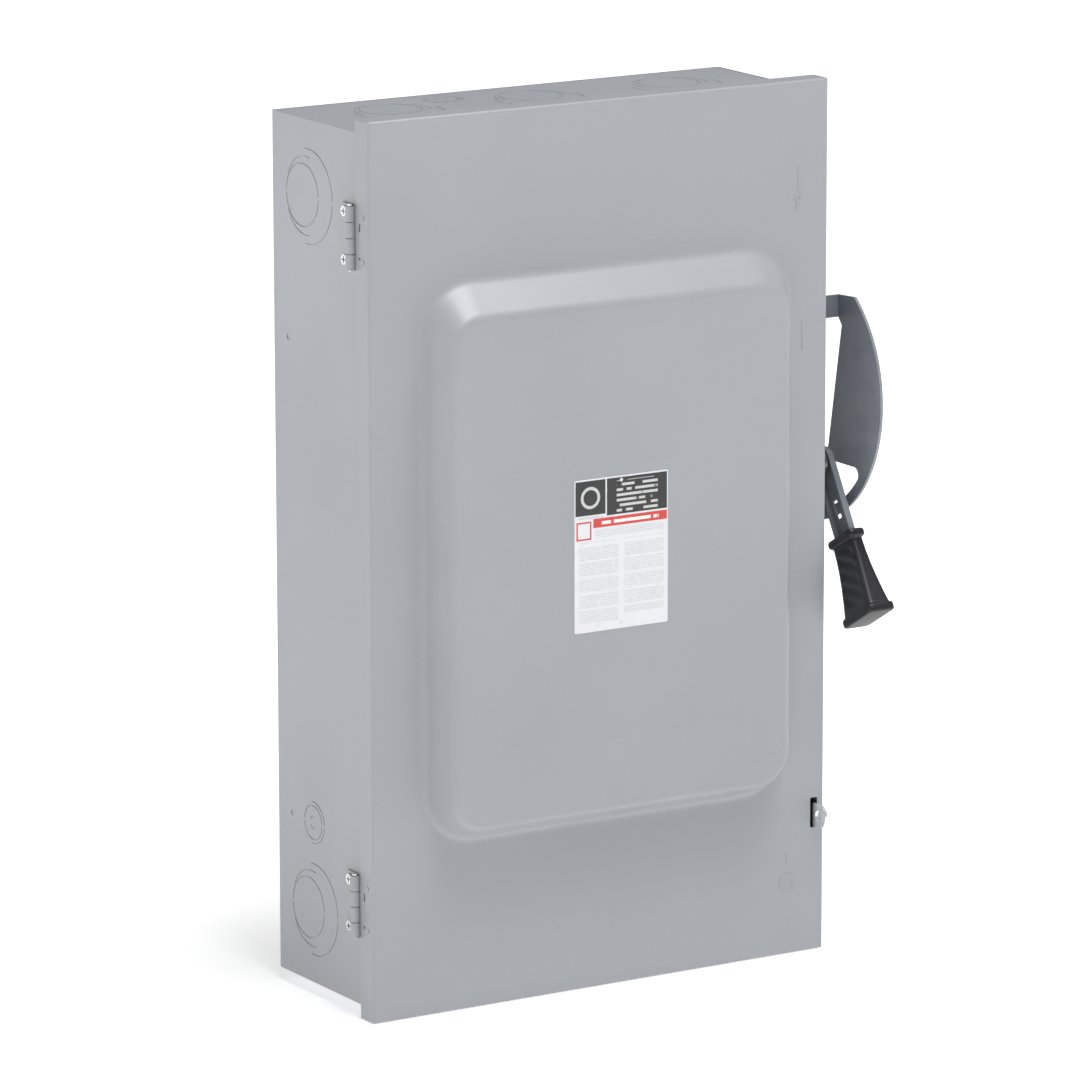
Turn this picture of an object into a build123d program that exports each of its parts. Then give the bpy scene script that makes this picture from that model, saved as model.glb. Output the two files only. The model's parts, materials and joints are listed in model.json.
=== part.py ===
from build123d import *
import os
from math import cos, radians, sin

# A side-handled fusible disconnect switch in a hinged sheet-steel box.
# Frame, in millimetres: +X to the right, +Y towards the wall, +Z up.
# The origin is on the wall, at the centre of the four wall-mounting holes.

os.makedirs("parts", exist_ok=True)

# ---------------------------------------------------------------- driving dimensions
total_depth = 155.0  # wall to the front face of the cover
cover_width, cover_height, cover_bottom = 420.0, 711.0, -355.0
box_width, box_height = 414.0, 690.0
sheet = 1.5
cover_flange = 20.0
rim_gap = 1.0  # cover's inside to the rim of the box
bend = 3.0  # outside radius of a folded corner

mount_across, mount_up, mount_hole = 280.0, 620.0, 4.4  # spacings and hole radius

panel_rise = 25.5
panel_foot = {"x": 4.5, "z": 4.5, "width": 335.5, "height": 442.0, "corner": 43.0}
panel_crown = {"x": 4.2, "z": -1.8, "width": 310.3, "height": 404.8, "corner": 27.0}
panel_bend = 7.0

# Knockout circles as (radius, shift towards the wall, scored part), for 2 1/2, 2 and 1 1/2 in
# conduit, and for 1 and 3/4 in conduit with a pilot hole. The outer circles are scored in part.
large_rings = [(37.7, 0.0, "cover side"), (31.35, 3.5, "wall side"), (25.2, 9.0, "all round")]
small_rings = [(17.3, 0.0, "cover side"), (14.1, 0.5, "all round"), (5.2, 0.0, "wall side")]
knockout_depth = 57.5  # wall to the centre of a knockout
side_knockout_up, small_knockout_up = 285.0, -214.3
top_knockouts, top_small_knockout = (-128.0, 0.0, 128.0), -68.0
score_width, score_depth, tie_width = 0.8, 0.5, 2.6

hinge_axis = (-212.0, -131.0)  # X and Y
hinge_heights, hinge_length = (264.0, -264.5), 50.0
barrel_radius, hinge_pin_radius, hinge_screw_spread = 4.1, 1.6, 18.8

handle_axis = (-114.8, 37.1)  # Y and Z
handle_angle = 60.0  # below the forward horizontal, at OFF
shaft_radius = 8.0
fit = 0.05  # radial clearance of a running fit
lever_inside, lever_outside, lever_width = 232.3, 238.3, 24.8
lever_tail = 88.0  # how far the channel reaches into the grip
grip_start, grip_end = 63.0, 135.0
grip_x = 234.8
guard_x, guard_plate = 248.5, 2.5
guard_centre, guard_radius = (-65.2, 89.9), 109.9  # Y and Z, front edge of the guard

bar_axis = (-72.0, 65.0)  # Y and Z of the crossbar
bar_radius, blade_reach, blade_width, blade_plate = 15.0, 56.0, 24.0, 4.0
crank_length, crank_angle = 30.0, 3.0  # at OFF, above the horizontal towards the wall
blade_angle = 30.0  # at OFF, below the forward horizontal
poles = (-105.0, -35.0, 35.0)
base_front = 46.0  # wall to the front face of the moulded bases
fuse_axis, fuse_length, fuse_radius = -72.0, 181.0, 20.0

# ---------------------------------------------------------------- worked out
box_depth = total_depth - sheet - rim_gap
inner_width = box_width - 2 * sheet
cover_top = cover_bottom + cover_height
wall_x = box_width / 2
handle_y, handle_z = handle_axis
bar_y, bar_z = bar_axis
fuse_top = bar_z - 87.0
fuse_bottom = fuse_top - fuse_length
along_y, along_z = -cos(radians(handle_angle)), -sin(radians(handle_angle))


def front(distance):
    """Plane facing out of the box, this far in front of the wall: local x is +X, y is +Z."""
    return Plane.XZ.offset(distance)


def side(x):
    """Plane facing right at this X: local x is +Y, y is +Z."""
    return Plane.YZ.offset(x)


def level(z):
    """Plane facing up at this Z."""
    return Plane.XY.offset(z)


def lever_side(x):
    """Plane facing right, with local x down the lever and y to the lever's wall side."""
    return Plane(origin=(x, handle_y, handle_z), x_dir=(0, along_y, along_z), z_dir=(1, 0, 0))


def lever_section(distance, x):
    """Plane across the lever, this far from its pivot: local x to the wall side, y is +X."""
    origin = (x, handle_y + distance * along_y, handle_z + distance * along_z)
    return Plane(origin=origin, x_dir=(0, -along_z, along_y), z_dir=(0, along_y, along_z))


def write(builder, label):
    """Label one finished piece and write its STEP file."""
    builder.part.label = label
    export_step(builder.part, f"parts/{label}.step")


def near(value, target):
    return abs(value - target) < 0.01


def block(x, y, z, mode=Mode.ADD):
    """Box between two X, two Y and two Z values, in the part being built."""
    centre = ((x[0] + x[1]) / 2, (y[0] + y[1]) / 2, (z[0] + z[1]) / 2)
    with Locations(centre):
        Box(x[1] - x[0], y[1] - y[0], z[1] - z[0], mode=mode)


def disc(plane, centre, radius, length, mode=Mode.ADD):
    """Cylinder that stands on a plane."""
    with BuildSketch(plane) as profile:
        with Locations(centre):
            Circle(radius)
    extrude(profile.sketch, amount=length, mode=mode)


def score_knockout(face, rings, towards_wall):
    """Score the circles of a knockout in a wall, with ties left on the line through the wall side."""
    with BuildSketch(face) as circles:
        for radius, shift, part in rings:
            reach = 2 * radius
            with BuildSketch(mode=Mode.PRIVATE) as circle:
                with Locations((0, towards_wall * shift)):
                    Circle(radius)
                    Circle(radius - score_width, mode=Mode.SUBTRACT)
                if part != "all round":
                    side_left = towards_wall if part == "cover side" else -towards_wall
                    with Locations((0, side_left * (reach / 2 + 0.1 * radius))):
                        Rectangle(2 * reach, reach, mode=Mode.SUBTRACT)
                wide_tie = 0.9 * radius if part == "wall side" else tie_width
                Rectangle(wide_tie, 2 * reach, mode=Mode.SUBTRACT)
            add(circle.sketch)
    extrude(circles.sketch, amount=-score_depth, mode=Mode.SUBTRACT)


def pan_screw(plane, centre, shank_radius, head_radius, head_height, length):
    """Pan-head screw with its head standing on a plane and a cross slot in the head."""
    disc(plane, centre, head_radius, head_height)
    disc(plane, centre, shank_radius, -length)
    with BuildSketch(plane.offset(head_height)) as cross:
        with Locations(centre):
            Rectangle(1.3 * head_radius, 0.3 * head_radius)
            Rectangle(0.3 * head_radius, 1.3 * head_radius)
    extrude(cross.sketch, amount=-0.5 * head_height, mode=Mode.SUBTRACT)


# ---------------------------------------------------------------- sheet-steel box
hinge_screw_y = -118.5
guard_rivets = [(-101.0, 162.5), (-71.0, -7.5)]

with BuildPart() as enclosure_wrap:
    block((-wall_x, wall_x), (-box_depth, 0), (-box_height / 2, box_height / 2))
    inside = (-inner_width / 2, inner_width / 2)
    block(inside, (-box_depth - 1, -sheet), (-box_height, box_height), Mode.SUBTRACT)
    uprights = enclosure_wrap.edges().filter_by(Axis.Z)
    fillet(uprights.filter_by(lambda e: near(e.center().Y, -sheet)), bend - sheet)
    uprights = enclosure_wrap.edges().filter_by(Axis.Z)
    fillet(uprights.filter_by(lambda e: near(e.center().Y, 0)), bend)
    with BuildSketch(front(0)):
        with GridLocations(mount_across, mount_up, 2, 2):
            Circle(mount_hole)
    extrude(amount=sheet, mode=Mode.SUBTRACT)
    for hand in (-1, 1):
        for height, rings in (
            (side_knockout_up, large_rings),
            (-side_knockout_up, large_rings),
            (small_knockout_up, small_rings),
        ):
            centre = (hand * wall_x, -knockout_depth, height)
            face = Plane(origin=centre, x_dir=(0, 0, 1), z_dir=(hand, 0, 0))
            score_knockout(face, rings, -hand)
    for height in (-213.4, 169.4):
        disc(side(-wall_x), (-24.4, height), 2.5, 0.5, Mode.SUBTRACT)
    for height in hinge_heights:
        for shift in (-hinge_screw_spread, hinge_screw_spread):
            disc(side(-wall_x), (hinge_screw_y, height + shift), 2.2, sheet, Mode.SUBTRACT)
    disc(side(wall_x), handle_axis, 12.1, -sheet, Mode.SUBTRACT)
    for rivet in guard_rivets:
        disc(side(wall_x), rivet, 2.5, -sheet, Mode.SUBTRACT)
write(enclosure_wrap, "enclosure_wrap")


def end_wall(hand):
    """Top (hand 1) or bottom (hand -1) wall: a tray whose edges are welded inside the wrap."""
    face = hand * box_height / 2
    edge, lip = 15.0, inner_width / 2
    with BuildPart() as wall:
        low, high = sorted((face, face - hand * edge))
        block((-lip, lip), (-box_depth, -sheet), (low, high))
        low, high = sorted((face - hand * sheet, face - hand * 2 * edge))
        hollow = lip - sheet
        block((-hollow, hollow), (-box_depth - 1, -2 * sheet), (low, high), Mode.SUBTRACT)
        rear_edges = wall.edges().filter_by(Axis.Z).filter_by(lambda e: near(e.center().Y, -sheet))
        fillet(rear_edges, bend - sheet + 0.3)
        folds = wall.edges().filter_by(Axis.Y).filter_by(lambda e: near(e.center().Z, face))
        fillet(folds.filter_by(lambda e: near(abs(e.center().X), lip)), 1.4)
        for x in top_knockouts:
            plane = Plane(origin=(x, -knockout_depth, face), x_dir=(1, 0, 0), z_dir=(0, 0, hand))
            score_knockout(plane, large_rings, hand)
        centre = (top_small_knockout, -knockout_depth + 32.0, face)
        plane = Plane(origin=centre, x_dir=(1, 0, 0), z_dir=(0, 0, hand))
        score_knockout(plane, small_rings, hand)
    return wall


write(end_wall(1), "top_end_wall")
write(end_wall(-1), "bottom_end_wall")

# ---------------------------------------------------------------- cover
tab_x, tab_height, tab_centre_z = 201.4, 19.4, -242.4
slot_centre = (200.6, -240.5)  # X and Z of the slot in the cover
flange_slots = [(9.0, 3.2), (-15.0, 1.1)]  # middle above a hinge's centre, and half length


def panel_outline(outline, distance, inset):
    """Rounded rectangle of the raised panel, this far in front of the wall."""
    with BuildSketch(front(distance)) as profile:
        with Locations((outline["x"], outline["z"])):
            width, height = outline["width"] - 2 * inset, outline["height"] - 2 * inset
            RectangleRounded(width, height, outline["corner"] - inset)
    return profile.sketch


def raised_panel(skin):
    """Loft of the raised panel, its outside for skin 0 and its inside for the sheet's thickness."""
    foot = panel_outline(panel_foot, total_depth - skin, 0.64 * skin)
    crown = panel_outline(panel_crown, total_depth + panel_rise - skin, 0.64 * skin)
    loft([foot, crown])


def panel_edges(builder, distance):
    """Edges of the raised panel that lie this far in front of the wall."""
    def of_panel(edge):
        middle = edge.center()
        inner = abs(middle.X) < 0.47 * cover_width and abs(middle.Z) < 0.47 * cover_height
        return near(middle.Y, -distance) and inner

    return builder.edges().filter_by(of_panel)


with BuildPart() as cover_hollow:
    inner_x, skin = cover_width / 2 - sheet, total_depth - sheet
    span = (cover_bottom + sheet, cover_top - sheet)
    block((-inner_x, inner_x), (-skin, -skin + cover_flange), span)
    raised_panel(sheet)
    fillet(panel_edges(cover_hollow, skin), panel_bend + sheet)
    fillet(panel_edges(cover_hollow, skin + panel_rise), panel_bend - sheet)

with BuildPart() as cover:
    flange_rear = -total_depth + cover_flange
    half = cover_width / 2
    block((-half, half), (-total_depth, flange_rear), (cover_bottom, cover_top))
    edges_round_face = cover.faces().sort_by(Axis.Y)[0].edges()
    fillet(edges_round_face, 1.9)
    raised_panel(0)
    fillet(panel_edges(cover, total_depth), panel_bend)
    fillet(panel_edges(cover, total_depth + panel_rise), panel_bend)
    add(cover_hollow.part, mode=Mode.SUBTRACT)
    slot_x, slot_z = [(middle - size, middle + size) for middle, size in zip(slot_centre, (3.4, 12.5))]
    block(slot_x, (-total_depth - 1, -total_depth + 2), slot_z, Mode.SUBTRACT)
    for height in hinge_heights:
        for shift in (-17.0, 17.0):
            disc(side(-half), (-146.5, height + shift), 1.6, sheet, Mode.SUBTRACT)
        for middle, reach in flange_slots:
            span = (height + middle - reach, height + middle + reach)
            block((-half - 1, -half + sheet), (-142.6, -140.4), span, Mode.SUBTRACT)
write(cover, "cover")

with BuildPart() as front_label:
    with BuildSketch(front(total_depth + panel_rise)):
        with Locations((1.3, 2.7)):
            RectangleRounded(86.0, 122.0, 1.5)
    extrude(amount=0.2)
write(front_label, "front_label")

tab_front, eye_y = -172.0, -162.5
with BuildPart() as padlock_tab:
    wall_side = inner_width / 2
    with BuildSketch(level(tab_centre_z - tab_height / 2)):
        with BuildLine():
            Polyline(
                (wall_side, -95),
                (wall_side, -137),
                (tab_x + 1.25, -146),
                (tab_x + 1.25, tab_front),
                (tab_x - 1.25, tab_front),
                (tab_x - 1.25, -145),
                (wall_side - 2.5, -136),
                (wall_side - 2.5, -95),
                close=True,
            )
        make_face()
    extrude(amount=tab_height)
    noses = padlock_tab.edges().filter_by(Axis.X).filter_by(lambda e: near(e.center().Y, tab_front))
    fillet(noses, 9.4)
    disc(side(tab_x - 2), (eye_y, tab_centre_z), 4.6, 4, Mode.SUBTRACT)
write(padlock_tab, "padlock_tab")

# ---------------------------------------------------------------- hinges
knuckle = hinge_length / 4
knuckle_gap = 0.5
barrel_space = barrel_radius + 0.6


def hinge_leaf(first_knuckle, leaf_x, leaf_y):
    """One leaf of both hinges: a plate and every second knuckle, counted from the bottom."""
    with BuildPart() as leaf:
        for height in hinge_heights:
            low = height - hinge_length / 2
            block(leaf_x, leaf_y, (low, low + hinge_length))
            spaces = [low + n * knuckle for n in range(4) if n % 2 != first_knuckle]
            for z in spaces:
                near_barrel = (hinge_axis[1] - barrel_space, hinge_axis[1] + barrel_space)
                block(leaf_x, near_barrel, (z, z + knuckle), Mode.SUBTRACT)
            for n in (first_knuckle, first_knuckle + 2):
                foot = level(low + n * knuckle + knuckle_gap / 2)
                disc(foot, hinge_axis, barrel_radius, knuckle - knuckle_gap)
            disc(level(low - 1), hinge_axis, hinge_pin_radius + fit, hinge_length + 2, Mode.SUBTRACT)
    return leaf


box_leaf = hinge_leaf(0, (-208.6, -wall_x), (hinge_axis[1] + 0.5, -112.5))
with BuildPart() as hinge_box_leaves:
    add(box_leaf.part)
    for height in hinge_heights:
        for shift in (-hinge_screw_spread, hinge_screw_spread):
            centre = (hinge_screw_y, height + shift)
            disc(side(-209), centre, 2.2, 3, Mode.SUBTRACT)
write(hinge_box_leaves, "hinge_box_leaves")

cover_leaf = hinge_leaf(1, (-208.5, -207.4), (-151.5, hinge_axis[1] - 0.5))
with BuildPart() as hinge_cover_leaves:
    add(cover_leaf.part)
    for height in hinge_heights:
        for shift in (-17.0, 17.0):
            disc(side(-209), (-146.5, height + shift), 1.6, 3, Mode.SUBTRACT)
write(hinge_cover_leaves, "hinge_cover_leaves")

with BuildPart() as hinge_pins:
    for height in hinge_heights:
        low = height - hinge_length / 2
        disc(level(low - 0.8), hinge_axis, hinge_pin_radius, hinge_length + 1.6)
        disc(level(low + hinge_length), hinge_axis, hinge_pin_radius + 0.8, 1.4)
write(hinge_pins, "hinge_pins")

with BuildPart() as hinge_screws:
    outward = Plane(origin=(-208.6, 0, 0), x_dir=(0, -1, 0), z_dir=(-1, 0, 0))
    for height in hinge_heights:
        for shift in (-hinge_screw_spread, hinge_screw_spread):
            centre = (-hinge_screw_y, height + shift)
            pan_screw(outward, centre, 2.1, 4.1, 2.4, 7.0)
write(hinge_screws, "hinge_screws")

with BuildPart() as cover_hinge_rivets:
    outward = Plane(origin=(-half, 0, 0), x_dir=(0, -1, 0), z_dir=(-1, 0, 0))
    for height in hinge_heights:
        for shift in (-17.0, 17.0):
            centre = (146.5, height + shift)
            disc(outward, centre, 1.5, -2.6)
            disc(outward, centre, 2.1, 0.5)
write(cover_hinge_rivets, "cover_hinge_rivets")

# ---------------------------------------------------------------- handle guard
leg_top = (153.9, 171.9)
leg_low = (-16.0, 1.0)
leg_top_y, leg_low_y = -113.8, -84.0
guard_outside = guard_x + guard_plate
front_top = (-136.1, 173.2)
front_bottom = (-94.6, leg_low[0])

with BuildPart() as handle_guard:
    with BuildSketch(side(guard_x)):
        with BuildLine():
            Polyline(
                front_bottom,
                (leg_low_y, leg_low[0]),
                (leg_low_y, leg_low[1]),
                (-100.6, 46.2),
                (-118.8, 147.8),
                (leg_top_y, leg_top[0]),
                (leg_top_y, leg_top[1]),
                front_top,
            )
            foremost = (guard_centre[0] - guard_radius, guard_centre[1])
            ThreePointArc(front_top, foremost, front_bottom)
        make_face()
        with BuildSketch(mode=Mode.SUBTRACT):
            with Locations(guard_centre):
                Circle(guard_radius - 9.0)
            with BuildLine():
                Polyline((-107, 35), (-165, 35), (-165, -2), (-98, -2), close=True)
            make_face(mode=Mode.INTERSECT)
    extrude(amount=guard_plate)
    window_corners = handle_guard.edges().filter_by(Axis.X)
    fillet(window_corners.filter_by(lambda e: near(e.center().Z, 35)), 6.0)
    for leg_y, leg_z in ((leg_top_y, leg_top), (leg_low_y, leg_low)):
        block((wall_x, guard_outside), (leg_y, leg_y + guard_plate), leg_z)
        block((wall_x, wall_x + guard_plate), (leg_y, leg_y + 24.0), leg_z)
    for rivet in guard_rivets:
        disc(side(wall_x - 1), rivet, 2.5, 5, Mode.SUBTRACT)
    uprights = handle_guard.edges().filter_by(Axis.Z)

    def on_outer_bend(edge):
        middle = edge.center()
        behind_leg = middle.Y - guard_plate
        at_leg = near(behind_leg, leg_top_y) or near(behind_leg, leg_low_y)
        return near(middle.X, guard_outside) and at_leg

    fillet(uprights.filter_by(on_outer_bend), 2.2)
write(handle_guard, "handle_guard")

with BuildPart() as guard_rivet_pair:
    for rivet in guard_rivets:
        disc(side(wall_x - sheet - 1.2), rivet, 4.2, 1.2)
        disc(side(wall_x - sheet - 0.1), rivet, 2.4, sheet + guard_plate + 0.2)
        disc(side(wall_x + guard_plate), rivet, 4.2, 1.6)
write(guard_rivet_pair, "guard_rivets")

# ---------------------------------------------------------------- handle
with BuildPart() as shaft_bushing:
    disc(side(wall_x - sheet - 4), handle_axis, 12.0, sheet + 8)
    disc(side(wall_x), handle_axis, 16.0, 3)
    disc(side(wall_x - 10), handle_axis, shaft_radius + fit, 20, Mode.SUBTRACT)
write(shaft_bushing, "shaft_bushing")

with BuildPart() as bushing_nut:
    with BuildSketch(side(wall_x - sheet - 4)):
        with Locations(handle_axis):
            RegularPolygon(17.0, 6)
            Circle(12.1, mode=Mode.SUBTRACT)
    extrude(amount=4)
write(bushing_nut, "bushing_nut")

with BuildPart() as wave_washer:
    with BuildSketch(side(wall_x + 4.4)):
        with Locations(handle_axis):
            Circle(12.5)
            Circle(shaft_radius + 0.3, mode=Mode.SUBTRACT)
    extrude(amount=1.0)
write(wave_washer, "wave_washer")

shaft_end = 146.0
with BuildPart() as handle_shaft:
    disc(side(shaft_end), handle_axis, shaft_radius, lever_outside - 2 - shaft_end)
    disc(side(lever_outside - 2), handle_axis, shaft_radius - 2, 2)
    disc(side(lever_outside), handle_axis, shaft_radius - 0.5, 1.8)
    disc(side(wall_x + 6), handle_axis, shaft_radius + 3.5, 18)
    nose = handle_shaft.faces().sort_by(Axis.X)[-1].edges()
    fillet(nose, 1.2)
write(handle_shaft, "handle_shaft")

with BuildPart() as operating_lever:
    with BuildSketch(lever_side(lever_inside)):
        Circle(lever_width / 2)
        with Locations((lever_tail / 2, 0)):
            Rectangle(lever_tail, lever_width)
    extrude(amount=lever_outside - lever_inside)
    rim = operating_lever.faces().sort_by(Axis.X)[-1].edges()
    fillet(rim, 1.6)
    with BuildSketch(lever_side(lever_inside)):
        Circle(lever_width / 2 - 2)
        with Locations((lever_tail / 2, 0)):
            Rectangle(lever_tail, lever_width - 4)
    extrude(amount=lever_outside - lever_inside - 2, mode=Mode.SUBTRACT)
    with BuildSketch(lever_side(lever_inside)):
        with Locations((40.5, 3.0)):
            RectangleRounded(15.5, 7.2, 1.0)
        Circle(shaft_radius - 2 + fit)
    extrude(amount=10, mode=Mode.SUBTRACT)
write(operating_lever, "operating_lever")

with BuildPart() as handle_grip:
    for distance, width, thickness in ((grip_start + 2, 31.0, 11.0), (grip_end - 3, 42.0, 21.5)):
        with BuildSketch(lever_section(distance, grip_x)):
            RectangleRounded(width, thickness, 3.5)
    loft()
    for distance, width, thickness, length in ((grip_start, 37.5, 16.0, 6.5), (grip_end - 7, 46.0, 25.0, 7.0)):
        with BuildSketch(lever_section(distance, grip_x)):
            RectangleRounded(width, thickness, 4.5)
        extrude(amount=length)
    with BuildSketch(lever_side(lever_inside - 0.1)):
        with Locations(((grip_start + lever_tail) / 2, 0)):
            Rectangle(lever_tail - grip_start + 1, lever_width + 0.2)
    extrude(amount=lever_outside - lever_inside + 0.2, mode=Mode.SUBTRACT)
    with BuildSketch(lever_section(grip_start - 1, grip_x)):
        Rectangle(lever_width + 0.2, 6.3)
    extrude(amount=4, mode=Mode.SUBTRACT)
write(handle_grip, "handle_grip")

# ---------------------------------------------------------------- drive from handle to crossbar
pin_radius = 3.0
crank_dy = crank_length * cos(radians(crank_angle))
crank_dz = crank_length * sin(radians(crank_angle))
crank_pin = (handle_y + crank_dy, handle_z + crank_dz)
arm_pin = (bar_y + crank_dy, bar_z + crank_dz)
crank_x, link_x, arm_x = (shaft_end, shaft_end + 5), (shaft_end - 6.5, shaft_end - 1.5), (132.0, 137.0)


def crank_arm(plane, centre, pin, hub_radius, thickness):
    """Flat arm with a round hub and a round pin end."""
    with BuildSketch(plane) as profile:
        with BuildLine():
            Line(centre, pin)
        trace(line_width=14.0)
        with Locations(centre):
            Circle(hub_radius)
        with Locations(pin):
            Circle(7.0)
    extrude(profile.sketch, amount=thickness)


with BuildPart() as handle_crank:
    crank_arm(side(crank_x[0]), handle_axis, crank_pin, 14.0, 5.0)
    disc(side(crank_x[0] - 1), handle_axis, shaft_radius, 8, Mode.SUBTRACT)
    disc(side(crank_x[0] - 1), crank_pin, pin_radius, 8, Mode.SUBTRACT)
write(handle_crank, "handle_crank")

with BuildPart() as crank_pin_piece:
    disc(side(link_x[0] - 1.2), crank_pin, pin_radius, crank_x[1] - link_x[0] + 2.4)
    disc(side(crank_x[1] + 1.2), crank_pin, 4.6, 1.6)
write(crank_pin_piece, "crank_pin")

with BuildPart() as drive_link:
    crank_arm(side(link_x[0]), crank_pin, arm_pin, 7.0, link_x[1] - link_x[0])
    disc(side(link_x[0] - 1), crank_pin, pin_radius + fit, 8, Mode.SUBTRACT)
    disc(side(link_x[0] - 1), arm_pin, pin_radius + 0.2, 8, Mode.SUBTRACT)
write(drive_link, "drive_link")

with BuildPart() as bar_arm:
    crank_arm(side(arm_x[0]), bar_axis, arm_pin, 13.0, 5.0)
    disc(side(arm_x[0] - 1), bar_axis, shaft_radius, 8, Mode.SUBTRACT)
    disc(side(arm_x[1]), arm_pin, pin_radius, link_x[1] - arm_x[1] + 0.5)
write(bar_arm, "crossbar_arm")

bar_ends = (-148.0, 112.0)
blade_direction = (0, -cos(radians(blade_angle)), -sin(radians(blade_angle)))


def blade_face(x):
    """Plane facing right, with local x along the blades at OFF."""
    return Plane(origin=(x, bar_y, bar_z), x_dir=blade_direction, z_dir=(1, 0, 0))


with BuildPart() as crossbar:
    disc(side(bar_ends[0]), bar_axis, bar_radius, bar_ends[1] - bar_ends[0])
    for x in (-75.0, -5.0, 65.0):
        disc(side(x), bar_axis, bar_radius + 4, 10.0)
    for pole in poles:
        with BuildSketch(blade_face(pole - blade_plate / 2 - fit)):
            Rectangle(2 * bar_radius + 4, blade_width + 2 * fit)
        extrude(amount=blade_plate + 2 * fit, mode=Mode.SUBTRACT)
write(crossbar, "crossbar")

with BuildPart() as crossbar_stubs:
    disc(side(bar_ends[0] - 14), bar_axis, shaft_radius, 14.0)
    disc(side(bar_ends[1]), bar_axis, shaft_radius, arm_x[1] - bar_ends[1])
write(crossbar_stubs, "crossbar_stubs")

with BuildPart() as switch_blades:
    for pole in poles:
        with BuildSketch(blade_face(pole - blade_plate / 2)):
            RectangleRounded(2 * blade_reach, blade_width, 3.0)
        extrude(amount=blade_plate)
write(switch_blades, "switch_blades")

pan_front = 8.0
with BuildPart() as crossbar_bracket:
    bracket_z = (bar_z - 17, bar_z + 17)
    block((-158, -155), (-88, -pan_front), bracket_z)
    block((-158, -146), (-pan_front - 3, -pan_front), bracket_z)
    disc(side(-160), bar_axis, shaft_radius + fit, 8, Mode.SUBTRACT)
write(crossbar_bracket, "crossbar_bracket")

with BuildPart() as mechanism_frame:
    block((118, 121), (-90, -pan_front), (bar_z - 18, bar_z + 18))
    block((118, 178), (-pan_front - 3, -pan_front), (14, bar_z + 18))
    block((175, 178), (-135, -pan_front), (14, 60))
    disc(side(117), bar_axis, shaft_radius + fit, 6, Mode.SUBTRACT)
    disc(side(174), handle_axis, shaft_radius + fit, 6, Mode.SUBTRACT)
write(mechanism_frame, "mechanism_frame")

spring_x, spring_foot_z, coil_radius, wire_radius = 163.0, -42.0, 7.0, 1.1
spring_length, spring_turns = crank_pin[1] - 6 - spring_foot_z, 8
with BuildPart() as toggle_spring:
    with BuildLine(Plane(origin=(spring_x, crank_pin[0], spring_foot_z))):
        coil = Helix(spring_length / spring_turns, spring_length, coil_radius)
    with BuildSketch(Plane(origin=coil @ 0, z_dir=coil % 0)):
        Circle(wire_radius)
    sweep(path=coil, is_frenet=True)
write(toggle_spring, "toggle_spring")

with BuildPart() as spring_anchor:
    anchor_front = crank_pin[0] - 12
    block((155, 178), (anchor_front, crank_pin[0] + 12), (-52, -49))
    block((175, 178), (anchor_front, -pan_front), (-52, 13.9))
    block((150, 178), (-pan_front - 3, -pan_front), (-52, 13.9))
write(spring_anchor, "spring_anchor")

cam_reach = 28.0
with BuildPart() as interlock_cam:
    with BuildSketch(side(190)):
        with Locations(handle_axis):
            Circle(15.0)
        with BuildLine():
            Line(handle_axis, (handle_y + cam_reach * along_z, handle_z + cam_reach * along_y))
        trace(line_width=12.0)
        with Locations(handle_axis):
            Circle(shaft_radius, mode=Mode.SUBTRACT)
    extrude(amount=4)
write(interlock_cam, "interlock_cam")

with BuildPart() as interlock_hook:
    inner_face = -(total_depth - sheet)
    hook_x, hook_z = (186.0, 188.5), (57.0, 72.0)
    lip_y = (handle_y + 7.5, handle_y + 10)
    block(hook_x, (inner_face, lip_y[1]), hook_z)
    block((hook_x[0], 196.0), lip_y, hook_z)
    block((178.5, 188.5), (inner_face, inner_face + 2), hook_z)
write(interlock_hook, "interlock_hook")

# ---------------------------------------------------------------- switch base
pan_z = (-275.0, 250.0)
with BuildPart() as mounting_pan:
    block((-172, 185), (-pan_front, -pan_front + 2), pan_z)
    for x in ((-172, -170), (183, 185)):
        block(x, (-pan_front, -sheet), pan_z)
write(mounting_pan, "mounting_pan")

pan_screw_places = [(x, z) for x in (-162.0, 160.0) for z in (pan_z[0] + 6, pan_z[1] - 6)]
with BuildPart() as pan_screws:
    for place in pan_screw_places:
        disc(front(pan_front), place, 5.0, 3.2)
write(pan_screws, "pan_screws")

base_x = (-142.0, 72.0)
rib_xs = (-141.0, -71.5, -1.5, 69.0)
line_base_z, load_base_z = (bar_z + 55, bar_z + 175), (bar_z - 327, bar_z - 55)


def moulded_base(span, ribs):
    """Insulating base with barrier ribs between the poles."""
    with BuildPart() as base:
        block(base_x, (-base_front, -pan_front), span)
        for x in rib_xs:
            block((x, x + 3), (-92, -base_front), ribs)
    return base


write(moulded_base(line_base_z, (bar_z + 67, bar_z + 175)), "line_base")
write(moulded_base(load_base_z, (bar_z - 327, bar_z - 103)), "load_base")

jaw_gap = blade_plate / 2 + 0.1
bar_front = base_front + 4.0


def jaw_leaves(pole, gap, span_y, span_z):
    """Two spring leaves either side of a blade."""
    for near_x, far_x in ((gap, gap + 1.6), (-gap - 1.6, -gap)):
        block((pole + near_x, pole + far_x), span_y, span_z)


with BuildPart() as line_jaws:
    for pole in poles:
        jaw_leaves(pole, jaw_gap, (-86, -bar_front), (bar_z + 41, bar_z + 67))
        block((pole - 11, pole + 11), (-bar_front, -base_front), (bar_z + 58, bar_z + 168))
write(line_jaws, "line_jaws")

fuse_half_plate = 2.4
with BuildPart() as load_jaws:
    for pole in poles:
        jaw_leaves(pole, jaw_gap, (-86, -bar_front), (bar_z - 67, bar_z - 41))
        block((pole - 11, pole + 11), (-bar_front, -base_front), (fuse_top - 34, bar_z - 61))
        jaw_leaves(pole, fuse_half_plate, (-88, -bar_front), (fuse_top - 30, fuse_top - 6))
write(load_jaws, "load_jaws")

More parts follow.
